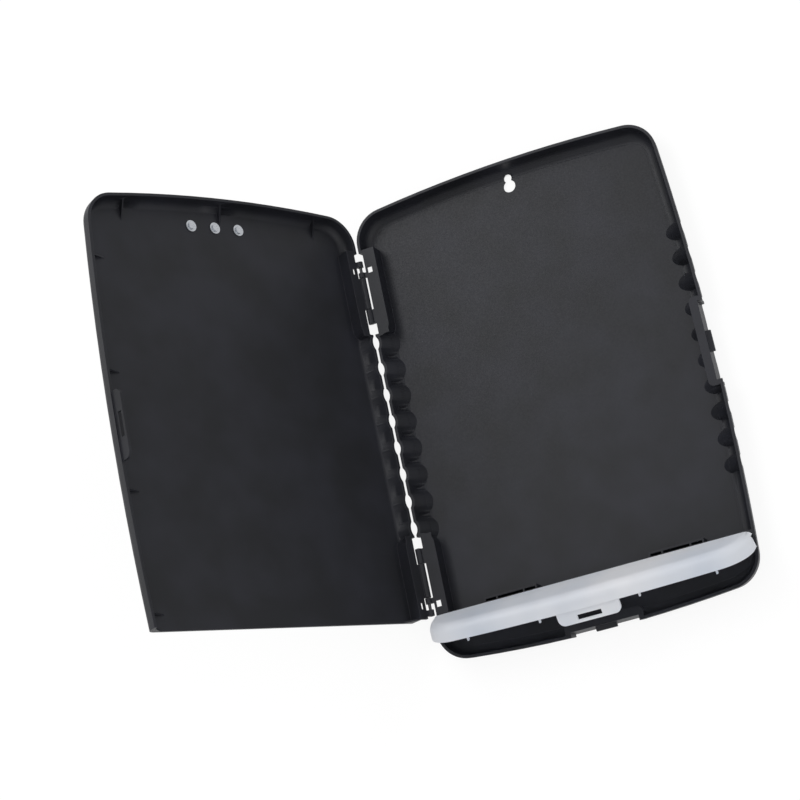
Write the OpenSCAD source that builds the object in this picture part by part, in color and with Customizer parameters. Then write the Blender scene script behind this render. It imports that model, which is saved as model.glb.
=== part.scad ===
// Storage clipboard box: a tray and a cover that close like a book, with a
// pen compartment under its own door and a low clip on the writing face.
// Millimetres. The base tray lies on its back, X runs from the hinge side to
// the latch side, Y towards the hanging hole, and the origin is the centre
// of the tray's back.

/* [Case] */
// Width of the closed case at its widest, without the hinge barrels
case_w = 254.5; // [246:0.5:264]
// Length of the closed case
case_l = 369; // [358:1:388]
// Height of the base tray, from its back to the seam
base_h = 16.2; // [15:0.2:22]
// Depth of the cover and of the pen door, from the seam to the writing face
cover_h = 13; // [13:0.5:16]
// Wall thickness of the base tray and the cover
wall = 2.2; // [1.8:0.1:2.6]
// Radius of the four corners in plan
corner_r = 24.5; // [22:0.5:28]
// Radius of the bowed latch side
side_bow_r = 2250; // [1800:50:5000]
// Radius of the bowed top and bottom ends
end_bow_r = 1090; // [1000:10:4000]
// Draft angle of the walls
draft = 7; // [5:0.5:9]
// Radius between the tray's walls and its back
back_r = 10; // [8:0.5:11]
// Radius between the cover's walls and the writing face
face_r = 8; // [6:0.5:9]
// Gap between the closed tray and cover
seam = 0.3; // [0.2:0.05:0.5]

/* [Pen compartment] */
// Length of the pen compartment, from the bottom end to the divider's face
pen_l = 40; // [37:0.5:44]
// Wall thickness of the translucent door
door_wall = 1.6; // [1.2:0.1:2]
// Radius of the door's rolled hinge edge
door_roll_r = 5.8; // [5.4:0.1:6.4]
// Distance from the middle to the centre of each door hinge
door_hinge_x = 64.5; // [55:0.5:75]
// Length of each door hinge
door_hinge_l = 42; // [36:1:48]
// Opening angle of the door as modelled
door_open = 62; // [0:1:110]

/* [Cover hinges] */
// Distance from the tray's spine to the hinge axis
hinge_out = 0.8; // [0.6:0.1:2.5]
// Distance from each end of the case to the far end of its hinge recess
hinge_end = 35.5; // [34.5:0.5:40]
// Length of each hinge recess
hinge_l = 67.5; // [66:0.5:72]
// Depth of the hinge recesses, in from the spine
hinge_in = 10.6; // [10:0.1:14]
// Radius of the hinge barrels
barrel_r = 2.5; // [2.3:0.1:3]
// Radius of every hinge pin
pin_r = 1.2; // [1:0.1:1.4]
// Opening angle of the cover as modelled
cover_open = 117.5; // [0:0.5:175]

/* [Finger grips] */
// Spacing of the spine's grips
spine_pitch = 21.3; // [20:0.1:22]
// Spacing of the latch side's grips
latch_pitch = 20.2; // [19:0.1:22]
// Grips on the spine
spine_grips = 8; // [4:2:8]
// Grips on the latch side
latch_grips = 10; // [4:2:10]
// Radius of the spine's grips
spine_grip_r = 9.5; // [8:0.5:10]
// Radius of the latch side's grips
latch_grip_r = 5; // [4:0.5:6]

/* [Latches] */
// Length of the cover's latch tab
tab_l = 51; // [40:1:54]
// Length of the pen door's latch tab
door_tab_l = 47.5; // [38:0.5:50]
// How far each tab reaches past the seam
tab_drop = 9; // [8:0.5:10]
// Length of the nub under each tab
nub_l = 16; // [12:0.5:20]
// How far the nubs stand out of their recess
nub_out = 3.2; // [2.4:0.1:3.4]

/* [Hanging hole] */
// Radius of the round end that passes over a hook
key_r = 5; // [4:0.1:6]
// Radius of the narrow end that rests on the hook
key_slot_r = 3.3; // [2.5:0.1:3.6]
// Distance between the two ends
key_drop = 6.5; // [6:0.5:9]

/* [Clip] */
// Width of the clip's jaw
clip_w = 148; // [120:2:170]
// Distance from the clip's pivot to the top end of the case
clip_inset = 26; // [24:1:34]
// Distance from the pivot down to the jaw's lip
jaw_reach = 34; // [28:1:40]
// Thickness of the clip's sheet steel
sheet = 1.2; // [1:0.1:1.5]
// Height of the clip's pivot above the writing face
clip_pivot_h = 5.6; // [5.2:0.1:7]
// Radius of the clip's pivot rod
rod_r = 1.5; // [1.2:0.1:1.7]
// Wire radius of the clip's springs
wire_r = 0.6; // [0.5:0.05:0.7]

/* [Hidden] */

charcoal = "#2b2d31";
frosted = [0.86, 0.89, 0.92, 0.75];
steel = "#b9bcc0";
black_steel = "#1d1e20";
soft_black = "#161618";

run = 0.05;        // radial running clearance of every pin
clear = 0.4;       // clearance between neighbours that move
over = 1;          // how far a cutter runs past what it cuts
spine_x = -case_w / 2;
latch_x = case_w / 2;
end_y = case_l / 2;
face_z = base_h + seam + cover_h;
shell_reach = 16;  // how far each wall's foot reaches in
hump_reach = 24;   // how far the latch side's grips may reach in
floor_inset = 15;  // the floor plates end inside those feet

// Hinge axis of the cover, halfway between the two rims
axis_x = spine_x - hinge_out;
axis_z = base_h + seam / 2;

// The divider, and the cover's straight end above it
divider_y = -end_y + pen_l;
cover_end_y = divider_y + 0.5;

// Hinge axis of the pen door: its rolled edge clears the cover by the seam
door_axis_y = cover_end_y - seam - door_roll_r;
door_axis_z = face_z - door_roll_r;
knuckle_r = pin_r + 1.4;

spine_rim_d = 1.8;    // depth of the spine's grips at the rim
spine_back_d = 13.5;  // depth of the tray's spine grips at its back
cover_back_d = 4.7;   // depth of the cover's grips at the writing face
latch_rim_d = -1;     // the latch side's grips end below the rim
latch_back_d = 18;    // depth of the latch side's grips at the back
latch_recess = 4.2;   // depth of the recess that a latch tab lies in
latch_play = 10;      // how much longer than its tab a recess is
tab_t = 2;            // thickness of the tabs
tab_root = 6;         // how far the tabs run up behind the wall above them
tab_round = 5;        // radius of the tabs' corners
slot_play = 2.4;      // how much longer than the nub its slot is
slot_w = 4;           // width of the slot
nub_w = 3;            // width of the nub
nub_z = base_h - 5;   // height of the nubs' centre
land_w = 6.5;         // width of the flat land behind a latch recess
land_end = 4;         // how far the land runs past each end of its recess

round_cross = 3;      // angle between a round and the faces that it joins
fine = 96;
wide = 720;           // fragments of a full turn of the bowed sides

// ---------------------------------------------------------------- outline

function sq(v) = v * v;

// How far a wall's foot lies in from its rim
function inset(h, r) = (r + (h - r) * sin(draft)) / cos(draft);

side_c = [latch_x - side_bow_r, 0];
angle_steps = 10000;

// Centre of the circle of the latch side's upper corner, touching both bows
function touch(p, r1, q, r2) =
    let (d = norm(q - p), a = (sq(r1) - sq(r2) + sq(d)) / (2 * d))
    let (u = (q - p) / d, b = sqrt(sq(r1) - sq(a)))
    let (m = p + a * u, n = b * [-u[1], u[0]])
    (m + n)[1] > 0 ? m + n : m - n;
function heading(p, q) = atan2(q[1] - p[1], q[0] - p[0]);
function along(a, r) = r * [cos(a), sin(a)];
function whole(v, n) = round(v * n) / n;

// Directions in which the arcs touch, as round numbers of degrees, and the
// centres that follow from them
side_a = whole(heading(side_c, touch(
    side_c, side_bow_r - corner_r, [0, end_y - end_bow_r], end_bow_r - corner_r
)), angle_steps);
latch_c = side_c + along(side_a, side_bow_r - corner_r);
end_a0 = whole(acos(latch_c[0] / (end_bow_r - corner_r)), angle_steps);
end_c = latch_c - along(end_a0, end_bow_r - corner_r);
end_a1 = whole(acos((spine_x + corner_r) / (end_bow_r - corner_r)), angle_steps);
spine_c = end_c + along(end_a1, end_bow_r - corner_r);

// X of the latch side and |Y| of the ends
function side_at(y) = side_c[0] + sqrt(sq(side_bow_r) - sq(y));
function end_at(x) = end_c[1] + sqrt(sq(end_bow_r) - sq(x));

// Points of one end's outline at an inset, from the latch side to the spine
function arc_points(c, r, a0, a1, n) =
    [for (i = [0:n]) let (a = a0 + (a1 - a0) * i / n) c + r * [cos(a), sin(a)]];
function end_points(d) = concat(
    arc_points(latch_c, corner_r - d, side_a, end_a0, 6),
    arc_points(end_c, end_bow_r - d, end_a0, end_a1, 12),
    arc_points(spine_c, corner_r - d, end_a1, 180, 6)
);

// Outline of the whole case at an inset
module outline(d) {
    upper = end_points(d);
    n = len(upper);
    lower = [for (i = [n - 1:-1:0]) [upper[i][0], -upper[i][1]]];
    side = arc_points(side_c, side_bow_r - d, -side_a, side_a, 12);
    polygon(concat(upper, lower, side));
}

// ------------------------------------------------------------- wall section

// Everything inside a wall's face: X runs in from the rim, Y up to the rim.
// The round crosses the drafted face and the floor at a slight angle.
module inside(h, r, t, reach, past) {
    c = inset(h, r);
    foot = [c - (r - t) * cos(draft), r - (r - t) * sin(draft)];
    top = h + past;
    rise = top - foot[1] + over;
    difference() {
        union() {
            intersection() {
                translate([c, r])
                    circle(r = (r - t) / cos(round_cross), $fn = fine);
                translate([c - r - over, t])
                    square([r + over, r - t]);
            }
            shift(foot)
                polygon([
                    [0, 0],
                    [-rise * tan(draft), rise],
                    [c + over - foot[0], rise],
                    [c + over - foot[0], 0]
                ]);
            translate([c, t])
                square([reach - c, top - t]);
        }
        translate([-reach, top])
            square([2 * reach, 2 * rise]);
    }
}

module wall_section(h, r, t) {
    difference() {
        inside(h, r, 0, shell_reach, 0);
        inside(h, r, t, shell_reach + over, over);
    }
}

// Moves in a coarse and a fine step, so that arcs which touch also meet
module shift(v) {
    coarse = [whole(v[0], 100), whole(v[1], 100)];
    translate(coarse)
        translate(v - coarse)
            children();
}

// Carries a section along an arc of the outline; the arc's angles are
// counted from the quarter turn q
module along_arc(c, r, q, a0, a1, fn) {
    shift(c)
        rotate(90 * q)
            rotate_extrude(start = a0 - 90 * q, angle = a1 - a0, $fn = fn)
                translate([r, 0])
                    mirror([1, 0])
                        children();
}

// Carries a section along the spine between two Y positions
module along_spine(y0, y1) {
    shift([spine_c[0] - corner_r, y1])
        rotate([90, 0, 0])
            linear_extrude(y1 - y0)
                children();
}

module along_latch_side() {
    along_arc(side_c, side_bow_r, 0, -side_a, side_a, wide)
        children();
}

module along_ends() {
    for (m = [0, 1])
        mirror([0, m, 0]) {
            along_arc(latch_c, corner_r, 0, side_a, end_a0, fine)
                children();
            along_arc(end_c, end_bow_r, 1, end_a0, end_a1, wide)
                children();
            along_arc(spine_c, corner_r, 1, end_a1, 180, fine)
                children();
        }
}

// A tray of the case's outline, open at the top
module tray(h, r, t) {
    along_ends()
        wall_section(h, r, t);
    along_latch_side()
        wall_section(h, r, t);
    along_spine(-spine_c[1], spine_c[1])
        wall_section(h, r, t);
    linear_extrude(t)
        outline(floor_inset);
}

// Everything inside a tray's walls and above its floor
module filled(h, r, t, past) {
    along_ends()
        inside(h, r, t, shell_reach, past);
    along_latch_side()
        inside(h, r, t, shell_reach, past);
    along_spine(-spine_c[1], spine_c[1])
        inside(h, r, t, shell_reach, past);
    translate([0, 0, t])
        linear_extrude(h + past - t)
            outline(floor_inset);
}

// ------------------------------------------------------------ finger grips

// A row of leaning grip cylinders; lean gives the depth at rim and at back
module grip_row(n, pitch, r, h, d_rim, d_back) {
    lean = atan2(d_back - d_rim, h);
    for (i = [0:n - 1])
        translate([0, (i - (n - 1) / 2) * pitch, 0])
            translate([d_back, 0, 0])
                rotate([0, -lean, 0])
                    translate([-r, 0, -2 * r])
                        cylinder(r = r, h = h + 4 * r, $fn = fine);
}

module spine_grip_row(h, d_back, extra) {
    translate([spine_x + extra, 0, 0])
        grip_row(spine_grips, spine_pitch, spine_grip_r + extra, h, spine_rim_d, d_back);
}

// The latch side's grips fade out below the rim
module latch_grip_row(extra) {
    translate([latch_x - extra, 0, 0])
        mirror([1, 0, 0])
            grip_row(
                latch_grips, latch_pitch, latch_grip_r + extra, base_h, latch_rim_d, latch_back_d
            );
}

// The hollow finger grips of the spine, kept one wall thick
module spine_humps(h, r, d_back) {
    intersection() {
        along_spine(-spine_c[1], spine_c[1])
            inside(h, r, 0, shell_reach, 0);
        spine_grip_row(h, d_back, wall);
    }
}

module latch_humps() {
    intersection() {
        along_latch_side()
            inside(base_h, back_r, 0, hump_reach, 0);
        latch_grip_row(wall);
    }
}

// ------------------------------------------------------------ cover hinges

hinge_far = end_y - hinge_end;
hinge_near = hinge_far - hinge_l;
hinge_slit = 1.3;                    // gap between the barrels and the plates
plate_x = axis_x + barrel_r + hinge_slit;
cover_hinge_in = 8;                  // depth of the cover's hinge recesses
recess_round = 7;                    // radius of the recess's near corner

// Knuckles along each hinge, as offsets from the recess's near end
tray_knuckles = [[9, 20.4], [47.2, 51.2]];
cover_knuckles = [[20.9, 46.5], [56, 60.4]];
plate_hole = [50, 55];
plate_edge = 1.2;                    // plate left beside its hole
pin_span = [8.6, 60.8];

// Plan of the upper hinge recess, grown by o
module recess_plan(depth, o) {
    x1 = spine_x + depth + o;
    y0 = hinge_near - o;
    y1 = hinge_far + o;
    r = min(recess_round, depth - 0.5) + o;
    translate([spine_x - 20, y0])
        square([x1 - r - spine_x + 20, y1 - y0]);
    translate([x1 - r - over, y0 + r])
        square([r + over, y1 - y0 - r]);
    translate([x1 - r, y0 + r])
        circle(r = r, $fn = fine);
}

module both_ends() {
    for (m = [0, 1])
        mirror([0, m, 0])
            children();
}

module along_hinge(span) {
    translate([axis_x, hinge_near + span[1], 0])
        rotate([90, 0, 0])
            linear_extrude(span[1] - span[0])
                children();
}

// Walls that close off the recesses, within the spine's own envelope
module recess_walls(h, r, depth) {
    intersection() {
        linear_extrude(h)
            difference() {
                recess_plan(depth, wall);
                recess_plan(depth, 0);
            }
        union() {
            along_spine(0, spine_c[1])
                inside(h, r, 0, shell_reach, 0);
            translate([spine_x + shell_reach - over, 0, 0])
                cube([2 * over, spine_c[1], h]);
        }
    }
}

module recess_cut(h, depth) {
    translate([0, 0, -over])
        linear_extrude(h + 2 * over)
            recess_plan(depth, 0);
}

// Flat plate at rim height with the knuckles of one half, on one hinge
module hinge_leaf(h, depth, knuckles) {
    difference() {
        union() {
            translate([plate_x, hinge_near - wall / 2, h - wall])
                cube([spine_x + depth + wall / 2 - plate_x, hinge_l + wall, wall]);
            for (k = knuckles)
                along_hinge(k) {
                    translate([0, h + seam / 2])
                        circle(r = barrel_r, $fn = fine);
                    translate([0, h - wall])
                        square([plate_x - axis_x + over, wall]);
                }
        }
        along_hinge([0, hinge_l])
            translate([0, h + seam / 2])
                circle(r = pin_r + run, $fn = fine);
        translate([plate_x + plate_edge, hinge_near + plate_hole[0], h - wall - over])
            cube([depth / 2 - 1, plate_hole[1] - plate_hole[0], wall + 2 * over]);
    }
}

module cover_hinge_pin() {
    color(charcoal)
        along_hinge(pin_span)
            translate([0, axis_z])
                circle(r = pin_r, $fn = fine);
}

// ----------------------------------------------------------------- latches

// In these the wall's outer face is at X 0, with X outward and Y along it

module rounded_plan(x0, x1, y0, y1, r) {
    translate([x0 + r, y0])
        square([x1 - x0 - 2 * r, y1 - y0]);
    translate([x0, y0 + r])
        square([x1 - x0, y1 - y0 - 2 * r]);
    for (x = [x0 + r, x1 - r], y = [y0 + r, y1 - r])
        translate([x, y])
            circle(r = r, $fn = fine);
}

backing_z = 3;                      // the backing stands on the round from here

// The recess runs out at the bottom, where the wall's round leaves it
module latch_recess_cut(l) {
    translate([-latch_recess, -l / 2, -over])
        cube([latch_recess + 5, l, base_h + 2 * over]);
}

// Wall behind the recess, with its two ends, and the land beside it
module latch_backing(l) {
    translate([-latch_recess - wall, -l / 2 - wall, backing_z])
        cube([latch_recess, l + 2 * wall, base_h - backing_z]);
    translate([0, 0, base_h - wall])
        linear_extrude(wall)
            rounded_plan(
                -latch_recess - land_w, -0.4, -l / 2 - land_end, l / 2 + land_end, land_end
            );
}

module latch_nub() {
    translate([-latch_recess - wall / 2, nub_l / 2, nub_z])
        rotate([90, 0, 0])
            linear_extrude(nub_l)
                polygon([
                    [0, -nub_w / 2],
                    [wall / 2 + nub_out, -nub_w / 2],
                    [wall / 2 + nub_out, nub_w / 6],
                    [wall / 2, nub_w / 2],
                    [0, nub_w / 2]
                ]);
}

// Tab that hangs past the seam, with the slot that snaps over the nub
module latch_tab(l) {
    translate([1 - latch_recess, 0, 0])
        rotate([90, 0, 90])
            linear_extrude(tab_t)
                difference() {
                    rounded_plan(
                        -l / 2, l / 2, base_h - tab_drop, base_h + seam + tab_root, tab_round
                    );
                    translate([-(nub_l + slot_play) / 2, nub_z - slot_w / 2])
                        square([nub_l + slot_play, slot_w]);
                }
}

module at_latch_side() {
    translate([latch_x, 0, 0])
        children();
}

module at_bottom_end() {
    translate([0, -end_y, 0])
        rotate(-90)
            children();
}

// ------------------------------------------------------------ poses

module in_case_frame() {
    translate([0, 0, face_z])
        mirror([0, 0, 1])
            children();
}

module opened_cover() {
    translate([axis_x, 0, axis_z])
        rotate([0, -cover_open, 0])
            translate([-axis_x, 0, -axis_z])
                children();
}

module opened_door() {
    translate([0, door_axis_y, door_axis_z])
        rotate([-door_open, 0, 0])
            translate([0, -door_axis_y, -door_axis_z])
                children();
}

// --------------------------------------------------------- shared sections

// Section across the whole case between its two sides, filled
module cross_fill(x0, x1, h, r, t) {
    half = (x1 - x0) / 2 + over;
    translate([x0, 0])
        inside(h, r, t, half, 0);
    translate([x1, 0])
        mirror([1, 0])
            inside(h, r, t, half, 0);
}

// A filled cross wall from y0 to y1
module cross_wall(y0, y1, h, r, t) {
    translate([0, y1, 0])
        rotate([90, 0, 0])
            linear_extrude(y1 - y0)
                cross_fill(spine_x, side_at(y0), h, r, t);
}

// Gusset between a wall and its floor: it starts at drop below the rim, and
// foot is how far it runs in over the floor
module gusset(h, r, t, drop, foot, thick) {
    c = inset(h, r);
    rm = r - t / 2;
    rotate([90, 0, 0])
        linear_extrude(thick, center = true)
            mirror([1, 0])
                polygon(concat(
                    [[t / 2 / cos(draft) + drop * tan(draft), h - drop]],
                    [for (i = [0:4])
                        let (a = draft + (90 - draft) * i / 4)
                        [c - rm * cos(a), r - rm * sin(a)]],
                    [[c + foot, t / 2]]
                ));
}

// ---------------------------------------------------------------- base tray

bracket_depth = 5.5;  // how far the door brackets reach into the storage side
bracket_wall = 1.4;
bracket_h = 11;       // height of the door brackets, down from the seam
ear_w = 5;            // width of the ears that hold a door hinge pin
ear_gap = 20;         // space between the two ears of one hinge

key_edge = 0.7;       // flat floor left above the hanging hole's round end

module keyhole() {
    y = end_y - inset(base_h, back_r) - key_r - key_edge;
    translate([0, y, -over])
        cylinder(r = key_r, h = wall + 2 * over, $fn = fine);
    translate([0, y + key_drop, -over])
        cylinder(r = key_slot_r, h = back_r - wall, $fn = fine);
}

// Side profile of an ear: the eye round the pin and its neck to the divider
module ear_profile() {
    translate([door_axis_y, door_axis_z])
        circle(r = knuckle_r, $fn = fine);
    polygon([
        [door_axis_y - knuckle_r * cos(30), door_axis_z - knuckle_r * sin(30)],
        [divider_y + wall / 2, base_h - bracket_h],
        [divider_y + wall / 2, base_h - wall],
        [divider_y - 0.2, base_h - wall],
        [divider_y - 0.2, base_h],
        [door_axis_y + knuckle_r * cos(60), door_axis_z + knuckle_r * sin(60)]
    ]);
}

module across(x0, x1) {
    translate([x0, 0, 0])
        rotate([90, 0, 90])
            linear_extrude(x1 - x0)
                children();
}

module ear_pair(extra) {
    for (s = [-1, 1], x = [s * (ear_gap + ear_w) / 2])
        across(x - ear_w / 2 - extra, x + ear_w / 2 + extra)
            children();
}

module at_door_hinges() {
    for (s = [-1, 1])
        translate([s * door_hinge_x, 0, 0])
            children();
}

// Open-topped bracket behind one door hinge
module bracket() {
    ribs = [-ear_gap / 2 - bracket_wall, ear_gap / 2, door_hinge_l / 2 - bracket_wall];
    difference() {
        translate([-door_hinge_l / 2, divider_y + wall / 2, base_h - bracket_h])
            cube([door_hinge_l, bracket_depth - wall / 2, bracket_h]);
        for (i = [0:2]) {
            x0 = i == 0 ? bracket_wall - door_hinge_l / 2 : ribs[i - 1] + bracket_wall;
            translate([x0, divider_y + wall, base_h - bracket_h + bracket_wall])
                cube([ribs[i] - x0, bracket_depth - wall - bracket_wall, bracket_h]);
        }
    }
}

module base_tray() {
    color(charcoal) {
        difference() {
            union() {
                difference() {
                    union() {
                        tray(base_h, back_r, wall);
                        spine_humps(base_h, back_r, spine_back_d);
                        latch_humps();
                    }
                    latch_grip_row(0);
                }
                both_ends()
                    recess_walls(base_h, back_r, hinge_in);
                cross_wall(divider_y, divider_y + wall, base_h, back_r, wall / 2);
                at_latch_side()
                    latch_backing(tab_l + latch_play);
                at_bottom_end()
                    latch_backing(door_tab_l + latch_play / 2);
            }
            spine_grip_row(base_h, spine_back_d, 0);
            both_ends()
                recess_cut(base_h, hinge_in);
            at_latch_side()
                latch_recess_cut(tab_l + latch_play);
            at_bottom_end()
                latch_recess_cut(door_tab_l + latch_play / 2);
            keyhole();
        }
        both_ends()
            hinge_leaf(base_h, hinge_in, tray_knuckles);
        at_latch_side()
            latch_nub();
        at_bottom_end()
            latch_nub();
        at_door_hinges() {
            bracket();
            difference() {
                ear_pair(0)
                    ear_profile();
                door_pin_bore();
            }
        }
    }
}

module door_pin_bore() {
    translate([-door_hinge_l / 2, door_axis_y, door_axis_z])
        rotate([0, 90, 0])
            cylinder(r = pin_r + run, h = door_hinge_l, $fn = fine);
}

module door_hinge_pin() {
    color(charcoal)
        translate([-ear_gap / 2 - ear_w, door_axis_y, door_axis_z])
            rotate([0, 90, 0])
                cylinder(r = pin_r, h = ear_gap + 2 * ear_w, $fn = fine);
}

// -------------------------------------------------------------------- cover

gusset_t = 1.2;
gusset_drop = 4;      // how far below the rim the gussets start
gusset_foot = 12;     // how far they run in over the panel
gusset_pitch = 88.4;  // spacing of the latch side's gussets
top_gussets = [-94.5, -5, 84.5];
end_web = 9;          // how far the webs at the cover's straight end run in
rivet_x = 22;         // spacing of the clip's rivets from the middle
rivet_r = 2;
rivet_head_r = 3.6;
rivet_head_h = 1.2;
rivet_dy = 6;         // rivets sit this far above the clip's pivot
washer_r = 4.5;
washer_t = 0.8;
clip_y = end_y - clip_inset;

module at_rivets() {
    for (x = [-rivet_x, 0, rivet_x])
        translate([x, clip_y + rivet_dy, 0])
            children();
}

module cover_shell() {
    difference() {
        union() {
            tray(cover_h, face_r, wall);
            spine_humps(cover_h, face_r, cover_back_d);
            both_ends()
                recess_walls(cover_h, face_r, cover_hinge_in);
        }
        spine_grip_row(cover_h, cover_back_d, 0);
        both_ends()
            recess_cut(cover_h, cover_hinge_in);
        translate([-case_w, -case_l, -over])
            cube([2 * case_w, case_l + cover_end_y, cover_h + 2 * over]);
        at_rivets()
            translate([0, 0, -over])
                cylinder(r = rivet_r + run, h = wall + 2 * over, $fn = fine);
    }
    difference() {
        both_ends()
            hinge_leaf(cover_h, cover_hinge_in, cover_knuckles);
        translate([-case_w, -case_l, 0])
            cube([case_w, case_l + cover_end_y, cover_h + barrel_r + seam]);
    }
    for (i = [-1.5:1.5], y = [i * gusset_pitch])
        translate([side_at(y), y, 0])
            gusset(cover_h, face_r, wall, gusset_drop, gusset_foot, gusset_t);
    for (x = top_gussets)
        translate([x, end_at(x), 0])
            rotate(90)
                gusset(cover_h, face_r, wall, gusset_drop, gusset_foot, gusset_t);
    translate([side_at(cover_end_y), cover_end_y + gusset_t / 2, 0])
        gusset(cover_h, face_r, wall, wall, end_web / 2, gusset_t);
    translate([spine_x + cover_hinge_in + wall / 2, cover_end_y + gusset_t, wall / 2])
        rotate([90, 0, 0])
            linear_extrude(gusset_t)
                polygon([[0, 0], [end_web, 0], [0, cover_h - 1.5 * wall]]);
}

module cover() {
    color(charcoal)
        opened_cover() {
            in_case_frame()
                cover_shell();
            at_latch_side()
                latch_tab(tab_l);
        }
}

// ----------------------------------------------------------------- pen door

door_rib_x = [-95, -38, 38, 95];   // ribs with a locating spike
short_rib_x = [-16.5, 16.5];       // ribs beside the latch slot
door_rib_t = 1.2;
spike = 3.3;                       // how far a spike reaches past the seam
roll_cross = 0.01;                 // how far the roll's round dips past the flat face

// Side profile of the door, filled: everything in front of the hinge axis,
// and a round behind it that just crosses the flat face
module door_profile(r, lip) {
    translate([-case_l, -over])
        square([case_l + door_axis_y, cover_h + 2 * over + lip]);
    intersection() {
        translate([door_axis_y, door_roll_r])
            circle(r = r + roll_cross, $fn = fine);
        translate([door_axis_y - over, -over])
            square([2 * door_roll_r, door_roll_r + over + lip]);
    }
}

// Rib inside the door, standing on the skirt, with its spike past the seam
module door_rib(spiked) {
    gusset(cover_h, face_r, door_wall, 1.5, 3, door_rib_t);
    if (spiked)
        rotate([90, 0, 0])
            linear_extrude(door_rib_t, center = true)
                mirror([1, 0])
                    polygon([
                        [latch_recess + clear, cover_h + spike],
                        [latch_recess + clear + 2.4, cover_h + spike],
                        [latch_recess + clear + 3.6, cover_h / 2 - 1],
                        [1.4 * door_wall, cover_h / 2 - 1],
                        [0.6 * door_wall, cover_h - 2],
                        [latch_recess + clear, cover_h - 2]
                    ]);
}

module door_shell() {
    difference() {
        intersection() {
            filled(cover_h, face_r, 0, 0);
            across(-case_w, case_w)
                door_profile(door_roll_r, -door_wall);
        }
        intersection() {
            filled(cover_h, face_r, door_wall, over);
            across(-case_w, case_w)
                door_profile(door_roll_r - door_wall, door_roll_r);
        }
        at_door_hinges()
            ear_pair(clear)
                translate([door_axis_y, door_wall + 0.4])
                    square([2 * door_roll_r, cover_h]);
    }
    for (x = door_rib_x)
        translate([x, -end_at(x), 0])
            rotate(-90)
                door_rib(true);
    for (x = short_rib_x)
        translate([x, -end_at(x), 0])
            rotate(-90)
                door_rib(false);
    at_door_hinges()
        difference() {
            across(clear - ear_gap / 2, ear_gap / 2 - clear) {
                translate([door_axis_y, door_roll_r])
                    circle(r = knuckle_r, $fn = fine);
                translate([door_axis_y - pin_r, door_wall / 2])
                    square([2 * pin_r, door_roll_r - door_wall / 2]);
            }
            translate([0, 0, face_z])
                mirror([0, 0, 1])
                    door_pin_bore();
        }
}

module pen_door() {
    color(frosted)
        opened_door() {
            in_case_frame()
                door_shell();
            at_bottom_end()
                latch_tab(door_tab_l);
        }
}

// --------------------------------------------------------------------- clip

plate_below = 12;            // how far the clip's plate reaches below the pivot
plate_above = 16;            // and above it
cheek_x = clip_w / 2 - 16;   // inner face of the jaw's cheeks
ear_x = cheek_x - clear;     // outer face of the clip base's ears
rod_over = 1.5;              // how far the rod stands out of the cheeks
coil_turns = 6;
coil_pitch = 2 * wire_r + 0.1;
coil_r = rod_r + 0.5 + wire_r;
spring_x = 34;
lip_h = 1.6;                 // thickness of the grip strip
lip_w = 5;

// Clip pieces are drawn at the pivot's Y with Z 0 on the writing face
module on_writing_face() {
    opened_cover()
        translate([0, clip_y, face_z])
            children();
}

module rod_bore(l) {
    translate([-l / 2, 0, clip_pivot_h])
        rotate([0, 90, 0])
            cylinder(r = rod_r + run, h = l, $fn = fine);
}

module clip_base() {
    color(black_steel)
        on_writing_face() {
            difference() {
                translate([-ear_x, -plate_below, 0])
                    cube([2 * ear_x, plate_below + plate_above, sheet]);
                for (x = [-rivet_x, 0, rivet_x])
                    translate([x, rivet_dy, -over])
                        cylinder(r = rivet_r + run, h = sheet + 2 * over, $fn = fine);
            }
            difference() {
                for (s = [-1, 1])
                    across(s * (ear_x - sheet / 2) - sheet / 2, s * (ear_x - sheet / 2) + sheet / 2) {
                        translate([0, clip_pivot_h])
                            circle(r = rod_r + 1.9, $fn = fine);
                        polygon([
                            [-8, sheet / 2],
                            [8, sheet / 2],
                            [rod_r + 1.6, clip_pivot_h + 1],
                            [-rod_r - 1.6, clip_pivot_h + 1]
                        ]);
                    }
                rod_bore(clip_w);
            }
        }
}

// Side profile of the jaw's sheet, from the lip over the pivot to the lever
jaw_line = [
    [-jaw_reach, 0.3 + lip_h],
    [-jaw_reach + lip_w, 0.3 + lip_h],
    [-0.65 * jaw_reach, clip_pivot_h + 1],
    [-0.3 * jaw_reach, clip_pivot_h + rod_r + 2.2],
    [8, clip_pivot_h + rod_r + 2.4],
    [18, clip_pivot_h + rod_r + 4.2],
    [22, clip_pivot_h + rod_r + 6]
];

module clip_jaw() {
    color(black_steel)
        on_writing_face() {
            across(-clip_w / 2, clip_w / 2)
                polygon(concat(
                    jaw_line,
                    [for (i = [len(jaw_line) - 1:-1:0]) jaw_line[i] + [-0.2, 1.05] * sheet]
                ));
            difference() {
                for (s = [-1, 1])
                    across(
                        s * (cheek_x + sheet / 2) - sheet / 2,
                        s * (cheek_x + sheet / 2) + sheet / 2
                    ) {
                        translate([0, clip_pivot_h])
                            circle(r = rod_r + 1.9, $fn = fine);
                        polygon([
                            [-0.5 * jaw_reach, clip_pivot_h + 2.6],
                            [-rod_r - 1.2, clip_pivot_h - 1],
                            [rod_r + 1.2, clip_pivot_h - 1],
                            [10, clip_pivot_h + rod_r + 3],
                            [-0.3 * jaw_reach, clip_pivot_h + rod_r + 2.6]
                        ]);
                    }
                rod_bore(clip_w);
            }
        }
}

module clip_grip_strip() {
    color(soft_black)
        on_writing_face()
            translate([4 - clip_w / 2, -jaw_reach, 0.3])
                cube([clip_w - 8, lip_w - 0.6, lip_h]);
}

module clip_pivot_rod() {
    l = 2 * (cheek_x + sheet + rod_over);
    color(steel)
        on_writing_face()
            translate([-l / 2, 0, clip_pivot_h])
                rotate([0, 90, 0])
                    cylinder(r = rod_r, h = l, $fn = fine);
}

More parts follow.
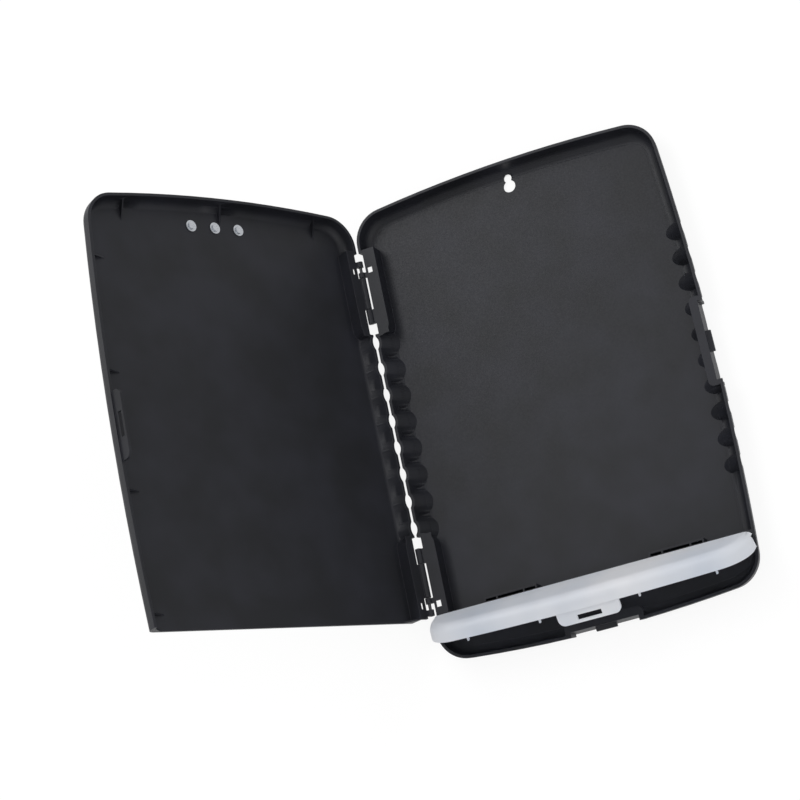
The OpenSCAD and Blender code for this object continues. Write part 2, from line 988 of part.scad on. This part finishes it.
// Straight wire between two points of the YZ plane, at x
module wire(x, p, q) {
    v = q - p;
    translate([x, p[0], p[1]])
        rotate([-heading([0, 0], v), 0, 0])
            rotate([-90, 0, 0])
                cylinder(r = wire_r, h = norm(v), $fn = 24);
}

module clip_spring(side) {
    l = (coil_turns - 1) * coil_pitch;
    color(steel)
        on_writing_face()
            translate([side * spring_x, 0, 0]) {
                translate([-l / 2, 0, clip_pivot_h])
                    rotate([0, 90, 0])
                        rotate_extrude($fn = fine)
                            translate([coil_r, 0]) {
                                for (i = [0:coil_turns - 1])
                                    translate([0, i * coil_pitch])
                                        circle(r = wire_r, $fn = 24);
                                translate([-wire_r / 2, 0])
                                    square([wire_r, l]);
                            }
                wire(-l / 2, [0, clip_pivot_h - coil_r], [-10, sheet + 0.1 + wire_r]);
                wire(l / 2, [0, clip_pivot_h + coil_r], [9, clip_pivot_h + rod_r + 2.3 - wire_r]);
            }
}

module clip_rivets() {
    color(steel)
        on_writing_face()
            for (x = [-rivet_x, 0, rivet_x])
                translate([x, rivet_dy, 0]) {
                    translate([0, 0, sheet])
                        cylinder(r = rivet_head_r, h = rivet_head_h, $fn = fine);
                    translate([0, 0, -wall - washer_t - rivet_head_h / 2])
                        cylinder(r = rivet_r, h = wall + washer_t + sheet + rivet_head_h, $fn = fine);
                    translate([0, 0, -wall - washer_t - rivet_head_h])
                        cylinder(r = rivet_head_r - 0.8, h = rivet_head_h, $fn = fine);
                }
}

module rivet_washers() {
    color(steel)
        on_writing_face()
            for (x = [-rivet_x, 0, rivet_x])
                translate([x, rivet_dy, -wall - washer_t])
                    difference() {
                        cylinder(r = washer_r, h = washer_t, $fn = fine);
                        translate([0, 0, -over])
                            cylinder(r = rivet_r + run, h = washer_t + 2 * over, $fn = fine);
                    }
}

// ------------------------------------------------------------------- nodes

base_tray();
cover();
pen_door();
cover_hinge_pin();  // upper_cover_hinge_pin
mirror([0, 1, 0]) cover_hinge_pin();  // lower_cover_hinge_pin
translate([-door_hinge_x, 0, 0]) door_hinge_pin();  // left_door_hinge_pin
translate([door_hinge_x, 0, 0]) door_hinge_pin();  // right_door_hinge_pin
clip_base();
clip_jaw();
clip_pivot_rod();
clip_grip_strip();
clip_spring(-1);  // left_clip_spring
clip_spring(1);  // right_clip_spring
clip_rivets();
rivet_washers();
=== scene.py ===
import bpy, math
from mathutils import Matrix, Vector


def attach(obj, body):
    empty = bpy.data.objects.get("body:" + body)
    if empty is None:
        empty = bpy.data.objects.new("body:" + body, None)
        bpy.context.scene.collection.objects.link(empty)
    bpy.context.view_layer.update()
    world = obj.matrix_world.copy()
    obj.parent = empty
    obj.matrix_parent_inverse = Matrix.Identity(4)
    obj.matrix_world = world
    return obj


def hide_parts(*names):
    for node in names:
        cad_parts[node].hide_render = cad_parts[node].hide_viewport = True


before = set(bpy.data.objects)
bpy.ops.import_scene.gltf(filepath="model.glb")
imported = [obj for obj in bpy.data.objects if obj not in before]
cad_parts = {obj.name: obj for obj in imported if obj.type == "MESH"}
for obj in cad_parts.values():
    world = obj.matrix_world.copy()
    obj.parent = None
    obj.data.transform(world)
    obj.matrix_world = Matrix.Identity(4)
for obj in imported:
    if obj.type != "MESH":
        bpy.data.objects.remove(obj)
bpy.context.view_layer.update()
scene = bpy.context.scene
bpy.ops.object.select_all(action="DESELECT")
print("frame loaded:", len(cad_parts), "nodes")


def hexColor(code):
    channels = [int(code[i:i + 2], 16) / 255 for i in (1, 3, 5)]
    linear = [c / 12.92 if c <= 0.04045 else ((c + 0.055) / 1.055) ** 2.4 for c in channels]
    return (*linear, 1.0)


def millimetres(value):
    return value / 1000


def addNode(tree, kind, links=None, **settings):
    node = tree.nodes.new(kind)
    for name, value in settings.items():
        if name in node.inputs:
            node.inputs[name].default_value = value
        else:
            setattr(node, name, value)
    for name, source in (links or {}).items():
        tree.links.new(source, node.inputs[name])
    return node


def newMaterial(name):
    material = bpy.data.materials.new(name)
    material.use_nodes = True
    tree = material.node_tree
    tree.nodes.clear()
    coords = addNode(tree, "ShaderNodeTexCoord")
    output = addNode(tree, "ShaderNodeOutputMaterial")
    return material, tree, coords.outputs["Object"], output


def noiseAt(tree, coords, grain, detail=3.0, rough=0.55):
    # grain is the size of one patch in millimetres
    noise = addNode(tree, "ShaderNodeTexNoise", {"Vector": coords}, Detail=detail, Roughness=rough)
    noise.inputs["Scale"].default_value = 1 / millimetres(grain)
    return noise.outputs["Fac"]


def rampBetween(tree, factor, stops):
    ramp = addNode(tree, "ShaderNodeValToRGB", {"Fac": factor})
    elements = ramp.color_ramp.elements
    while len(elements) < len(stops):
        elements.new(0.5)
    for element, (place, color) in zip(elements, stops):
        element.position = place
        element.color = color if not isinstance(color, str) else hexColor(color)
    return ramp.outputs["Color"]


def grey(value):
    return (value, value, value, 1)


def glossBetween(tree, factor, low, high):
    return rampBetween(tree, factor, [(0.3, grey(low)), (0.7, grey(high))])


edgeFade = {"full": 0.86, "none": 0.98}


def edgesOf(tree, roundedNormal, most):
    # where the rounded normal leaves the face's own, an edge is near
    geometry = addNode(tree, "ShaderNodeNewGeometry")
    turned = addNode(tree, "ShaderNodeVectorMath", {0: roundedNormal, 1: geometry.outputs["Normal"]},
                     operation="DOT_PRODUCT")
    return rampBetween(tree, turned.outputs["Value"],
                       [(edgeFade["full"], grey(most)), (edgeFade["none"], grey(0))])


# Injection-moulded ABS: a satin charcoal skin, spark-eroded grain that breaks
# up the gloss, and edges painted a little lighter: partly handling wear, partly a painted highlight (edge sheen).
absSkin = {
    "base": "#191a1e", "light": "#202127", "edge": "#36373e",
    "patch": 38.0, "grain": 0.9, "grainDepth": 0.05, "grainStrength": 0.22,
    "roughLow": 0.38, "roughHigh": 0.54, "shine": 0.2, "ior": 1.53,
    "edgeRound": 0.45, "edgeWearAndSheenMost": 0.6,
}


def mouldedAbs():
    material, tree, coords, output = newMaterial("moulded charcoal ABS")
    patches = noiseAt(tree, coords, absSkin["patch"], 2.0, 0.5)
    skin = rampBetween(tree, patches, [(0.35, absSkin["base"]), (0.68, absSkin["light"])])
    rounded = addNode(tree, "ShaderNodeBevel", samples=6, Radius=millimetres(absSkin["edgeRound"]))
    # painted highlight: edges lightened towards the edge colour, partly wear and partly painted edge sheen
    edges = edgesOf(tree, rounded.outputs["Normal"], absSkin["edgeWearAndSheenMost"])
    mixed = addNode(tree, "ShaderNodeMix", data_type="RGBA")
    tree.links.new(edges, mixed.inputs["Factor"])
    tree.links.new(skin, mixed.inputs["A"])
    mixed.inputs["B"].default_value = hexColor(absSkin["edge"])
    grain = noiseAt(tree, coords, absSkin["grain"], 4.0, 0.6)
    gloss = glossBetween(tree, grain, absSkin["roughLow"], absSkin["roughHigh"])
    bump = addNode(tree, "ShaderNodeBump", {"Height": grain, "Normal": rounded.outputs["Normal"]},
                   Strength=absSkin["grainStrength"], Distance=millimetres(absSkin["grainDepth"]))
    shader = addNode(tree, "ShaderNodeBsdfPrincipled", {
        "Base Color": mixed.outputs["Result"], "Roughness": gloss, "Normal": bump.outputs["Normal"]},
        IOR=absSkin["ior"])
    shader.inputs["Specular IOR Level"].default_value = absSkin["shine"]
    tree.links.new(shader.outputs["BSDF"], output.inputs["Surface"])
    return material


# Natural polypropylene: milky and only half clear, waxy to the light, with a
# matt inner face; soft grey-blue patches in its colour are painted shade of the dark parts behind it.
polypropylene = {
    "milk": "#eff0f3", "paintedShadeBlue": "#dde2ea", "patch": 55.0, "ripple": 6.0,
    "rippleDepth": 0.2, "rippleStrength": 0.12,
    "roughLow": 0.36, "roughHigh": 0.48, "clear": 0.24, "glow": 0.3, "ior": 1.49,
    "edgeRound": 0.4,
}


def frostedPolypropylene():
    material, tree, coords, output = newMaterial("frosted natural polypropylene")
    patches = noiseAt(tree, coords, polypropylene["patch"], 2.0, 0.5)
    # random patches between milky white and a painted grey-blue shade of the dark parts behind
    milk = rampBetween(tree, patches, [(0.3, polypropylene["paintedShadeBlue"]), (0.7, polypropylene["milk"])])
    ripple = noiseAt(tree, coords, polypropylene["ripple"], 2.0, 0.4)
    gloss = glossBetween(tree, ripple, polypropylene["roughLow"], polypropylene["roughHigh"])
    rounded = addNode(tree, "ShaderNodeBevel", samples=4, Radius=millimetres(polypropylene["edgeRound"]))
    bump = addNode(tree, "ShaderNodeBump", {"Height": ripple, "Normal": rounded.outputs["Normal"]},
                   Strength=polypropylene["rippleStrength"],
                   Distance=millimetres(polypropylene["rippleDepth"]))
    shader = addNode(tree, "ShaderNodeBsdfPrincipled", {
        "Base Color": milk, "Roughness": gloss, "Normal": bump.outputs["Normal"]},
        IOR=polypropylene["ior"])
    shader.inputs["Transmission Weight"].default_value = polypropylene["clear"]
    glow = addNode(tree, "ShaderNodeBsdfTranslucent", {"Color": milk})
    blend = addNode(tree, "ShaderNodeMixShader", Fac=polypropylene["glow"])
    tree.links.new(shader.outputs["BSDF"], blend.inputs[1])
    tree.links.new(glow.outputs["BSDF"], blend.inputs[2])
    tree.links.new(blend.outputs["Shader"], output.inputs["Surface"])
    return material


# Moulded acetal: the slippery rod inside the knuckles, smoother and darker
# than the case.
acetal = {
    "dark": "#1c1d20", "worn": "#2c2d31", "streak": 4.0, "grain": 1.0,
    "roughLow": 0.26, "roughHigh": 0.4, "ior": 1.48,
}


def mouldedAcetal():
    material, tree, coords, output = newMaterial("moulded acetal pin")
    wear = rampBetween(tree, noiseAt(tree, coords, acetal["streak"]),
                       [(0.4, acetal["dark"]), (0.7, acetal["worn"])])
    gloss = glossBetween(tree, noiseAt(tree, coords, acetal["grain"]), acetal["roughLow"], acetal["roughHigh"])
    shader = addNode(tree, "ShaderNodeBsdfPrincipled", {"Base Color": wear, "Roughness": gloss}, IOR=acetal["ior"])
    tree.links.new(shader.outputs["BSDF"], output.inputs["Surface"])
    return material


# Powder-coated sheet steel: black with a fine orange peel, and bare grey
# starting to show on the bent edges.
powderCoat = {
    "coat": "#1b1c1e", "bare": "#6d7074", "chip": 3.0,
    "peel": 1.1, "peelDepth": 0.06, "peelStrength": 0.3,
    "roughLow": 0.32, "roughHigh": 0.46, "ior": 1.5, "edgeRound": 0.3,
}


def coatedSteel():
    material, tree, coords, output = newMaterial("black powder-coated steel")
    rounded = addNode(tree, "ShaderNodeBevel", samples=6, Radius=millimetres(powderCoat["edgeRound"]))
    chips = noiseAt(tree, coords, powderCoat["chip"], 5.0, 0.7)
    edges = edgesOf(tree, rounded.outputs["Normal"], 1.0)
    chipped = addNode(tree, "ShaderNodeMath", {0: edges, 1: chips}, operation="MULTIPLY")
    worn = rampBetween(tree, chipped.outputs[0], [(0.3, powderCoat["coat"]), (0.5, powderCoat["bare"])])
    peel = noiseAt(tree, coords, powderCoat["peel"], 2.0, 0.5)
    gloss = glossBetween(tree, peel, powderCoat["roughLow"], powderCoat["roughHigh"])
    bump = addNode(tree, "ShaderNodeBump", {"Height": peel, "Normal": rounded.outputs["Normal"]},
                   Strength=powderCoat["peelStrength"], Distance=millimetres(powderCoat["peelDepth"]))
    shader = addNode(tree, "ShaderNodeBsdfPrincipled", {
        "Base Color": worn, "Roughness": gloss, "Normal": bump.outputs["Normal"]},
        IOR=powderCoat["ior"])
    tree.links.new(shader.outputs["BSDF"], output.inputs["Surface"])
    return material


# Zinc-plated spring steel: a bright cool grey with the fine drawing lines of
# wire and rod.
platedSteel = {
    "bright": "#c2c5ca", "dull": "#9a9da2",
    "line": 2.8, "stretch": (1, 6, 6), "lineDepth": 0.05, "lineStrength": 0.1,
    "roughLow": 0.2, "roughHigh": 0.36,
}


def platedSpringSteel():
    material, tree, coords, output = newMaterial("zinc-plated spring steel")
    stretched = addNode(tree, "ShaderNodeMapping", {"Vector": coords}, Scale=platedSteel["stretch"])
    lines = noiseAt(tree, stretched.outputs["Vector"], platedSteel["line"], 4.0, 0.6)
    tint = rampBetween(tree, lines, [(0.3, platedSteel["dull"]), (0.7, platedSteel["bright"])])
    gloss = glossBetween(tree, lines, platedSteel["roughLow"], platedSteel["roughHigh"])
    bump = addNode(tree, "ShaderNodeBump", {"Height": lines},
                   Strength=platedSteel["lineStrength"], Distance=millimetres(platedSteel["lineDepth"]))
    shader = addNode(tree, "ShaderNodeBsdfPrincipled", {
        "Base Color": tint, "Roughness": gloss, "Normal": bump.outputs["Normal"]}, Metallic=1.0)
    tree.links.new(shader.outputs["BSDF"], output.inputs["Surface"])
    return material


# Moulded nitrile rubber: matt black with dust in its fine ribs.
rubber = {
    "black": "#151516", "dust": "#2b2b2c", "dustPatch": 5.0, "grain": 1.5,
    "rib": 6.6, "ribDepth": 0.15, "ribStrength": 0.3, "ribWander": 0.4,
    "roughLow": 0.72, "roughHigh": 0.88, "ior": 1.52,
}


def nitrileRubber():
    material, tree, coords, output = newMaterial("moulded nitrile rubber")
    ribs = addNode(tree, "ShaderNodeTexWave", {"Vector": coords},
                   Distortion=rubber["ribWander"], bands_direction="Y")
    ribs.inputs["Scale"].default_value = 1 / millimetres(rubber["rib"])
    dusty = rampBetween(tree, noiseAt(tree, coords, rubber["dustPatch"]),
                        [(0.4, rubber["black"]), (0.75, rubber["dust"])])
    bump = addNode(tree, "ShaderNodeBump", {"Height": ribs.outputs["Fac"]},
                   Strength=rubber["ribStrength"], Distance=millimetres(rubber["ribDepth"]))
    gloss = glossBetween(tree, noiseAt(tree, coords, rubber["grain"]), rubber["roughLow"], rubber["roughHigh"])
    shader = addNode(tree, "ShaderNodeBsdfPrincipled", {
        "Base Color": dusty, "Roughness": gloss, "Normal": bump.outputs["Normal"]},
        IOR=rubber["ior"])
    tree.links.new(shader.outputs["BSDF"], output.inputs["Surface"])
    return material


charcoalAbs = mouldedAbs()
frosted = frostedPolypropylene()
pinAcetal = mouldedAcetal()
blackSteel = coatedSteel()
brightSteel = platedSpringSteel()
gripRubber = nitrileRubber()
print("materials ready")

# The large mouldings: a merged copy takes smooth shading and stands for the
# node, so that the rounds and grips read as one skin. Floors and other faces
# over flatFrom square millimetres stay flat.
mouldings = {
    "smoothAngle": 28.0, "mergeWithin": 0.0005, "flatWithin": 0.15, "flatFrom": 400.0,
    "normalWeight": 100,
    "pieces": {
        "tray moulding": ("base_tray", "base", charcoalAbs, "charcoal_plastic"),
        "cover moulding": ("cover", "cover", charcoalAbs, "charcoal_plastic"),
        "pen door moulding": ("pen_door", "pen_door", frosted, "frosted_plastic"),
    },
}
for label, (node, body, material, slot) in mouldings["pieces"].items():
    source = bpy.data.objects[node]
    piece = bpy.data.objects.new(label.replace(" ", "_"), source.data.copy())
    scene.collection.objects.link(piece)
    piece.data.materials.clear()
    piece.data.materials.append(material)
    bpy.ops.object.select_all(action="DESELECT")
    piece.select_set(True)
    bpy.context.view_layer.objects.active = piece
    bpy.ops.object.mode_set(mode="EDIT")
    bpy.ops.mesh.select_all(action="SELECT")
    bpy.ops.mesh.remove_doubles(threshold=millimetres(mouldings["mergeWithin"]))
    bpy.ops.mesh.dissolve_limited(angle_limit=math.radians(mouldings["flatWithin"]))
    bpy.ops.object.mode_set(mode="OBJECT")
    bpy.ops.object.shade_smooth_by_angle(angle=math.radians(mouldings["smoothAngle"]))
    for face in piece.data.polygons:
        if face.area > mouldings["flatFrom"] * millimetres(1) ** 2:
            face.use_smooth = False
    bpy.ops.object.modifier_add(type="WEIGHTED_NORMAL")
    piece.modifiers[-1].keep_sharp = True
    piece.modifiers[-1].weight = mouldings["normalWeight"]
    bpy.ops.object.modifier_apply(modifier=piece.modifiers[-1].name)
    piece.select_set(False)
    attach(piece, body)
    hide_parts(node)
    print(label, "made,", len(piece.data.polygons), "faces")

# Pins, clip and springs keep their own shapes and take their finish here
finishes = {
    pinAcetal: ["upper_cover_hinge_pin", "lower_cover_hinge_pin",
                "left_door_hinge_pin", "right_door_hinge_pin"],
    blackSteel: ["clip_base", "clip_jaw"],
    brightSteel: ["clip_pivot_rod", "left_clip_spring", "right_clip_spring",
                  "clip_rivets", "rivet_washers"],
    gripRubber: ["clip_grip_strip"],
}
for material, nodes in finishes.items():
    for node in nodes:
        for slot in bpy.data.objects[node].material_slots:
            slot.material = material
print("finishes set")

# Camera: the view is a crop of a wider frame, so it is shifted
camera = {
    "place": (0.46958, -0.46702, 1.65259), "turn": (14.443, 24.365, -11.662), "sensor": 36.0,
    "focal": 2359.95, "middle": (321.35, 282.91), "frame": 800,
}
cameraData = bpy.data.cameras.new("camera")
cameraData.sensor_width = camera["sensor"]
cameraData.lens = camera["focal"] / camera["frame"] * camera["sensor"]
cameraData.shift_x = (camera["frame"] / 2 - camera["middle"][0]) / camera["frame"]
cameraData.shift_y = (camera["middle"][1] - camera["frame"] / 2) / camera["frame"]
cameraObject = bpy.data.objects.new("camera", cameraData)
scene.collection.objects.link(cameraObject)
cameraObject.location = camera["place"]
cameraObject.rotation_euler = [math.radians(turn) for turn in camera["turn"]]
scene.camera = cameraObject



def seenDirectly(tree):
    # 1 for the rays of the camera, of gloss and through clear plastic
    path = addNode(tree, "ShaderNodeLightPath")
    seen = addNode(tree, "ShaderNodeMath", {
        0: path.outputs["Is Camera Ray"], 1: path.outputs["Is Glossy Ray"]}, operation="MAXIMUM")
    seen = addNode(tree, "ShaderNodeMath", {
        0: seen.outputs[0], 1: path.outputs["Is Transmission Ray"]}, operation="MAXIMUM")
    return seen.outputs[0]


# Studio: an even pale dome with two soft lamps, one over the top left
studio = {
    "dome": 0.8,
    "lamps": [("key lamp", (-0.9, 1.1, 1.9), 1.1, 20), ("fill lamp", (1.4, -0.6, 1.6), 1.6, 8)],
}
world = bpy.data.worlds.new("studio")
scene.world = world
world.use_nodes = True
tree = world.node_tree
tree.nodes.clear()
dome = addNode(tree, "ShaderNodeBackground", Color=(1, 1, 1, 1), Strength=studio["dome"])
backdrop = addNode(tree, "ShaderNodeBackground", Color=(1, 1, 1, 1), Strength=1.0)
blend = addNode(tree, "ShaderNodeMixShader", {"Fac": seenDirectly(tree)})
tree.links.new(dome.outputs[0], blend.inputs[1])
tree.links.new(backdrop.outputs[0], blend.inputs[2])
addNode(tree, "ShaderNodeOutputWorld", {"Surface": blend.outputs[0]})
for name, place, size, power in studio["lamps"]:
    lampData = bpy.data.lights.new(name, "AREA")
    lampData.size = size
    lampData.energy = power
    lamp = bpy.data.objects.new(name, lampData)
    lamp.location = place
    lamp.rotation_euler = (-Vector(place)).to_track_quat("-Z", "Y").to_euler()
    scene.collection.objects.link(lamp)
scene.view_settings.view_transform = "Standard"

# Floor: white paper that keeps only a soft contact shadow
paper = {"size": 8.0, "shade": "#ffffff", "shadow": 0.12, "drop": 0.0005}
bpy.ops.mesh.primitive_plane_add(size=paper["size"], location=(0, 0, -paper["drop"]))
floor = bpy.context.object
floor.name = "paper_floor"
material, tree, coords, output = newMaterial("white paper floor")
diffuse = addNode(tree, "ShaderNodeBsdfDiffuse", Color=hexColor(paper["shade"]))
white = addNode(tree, "ShaderNodeEmission", Color=(1, 1, 1, 1), Strength=1.0)
share = addNode(tree, "ShaderNodeMath", {0: seenDirectly(tree)}, operation="MULTIPLY")
share.inputs[1].default_value = 1 - paper["shadow"]
blend = addNode(tree, "ShaderNodeMixShader", {"Fac": share.outputs[0]})
tree.links.new(diffuse.outputs[0], blend.inputs[1])
tree.links.new(white.outputs[0], blend.inputs[2])
tree.links.new(blend.outputs[0], output.inputs["Surface"])
floor.data.materials.append(material)
print("studio ready")
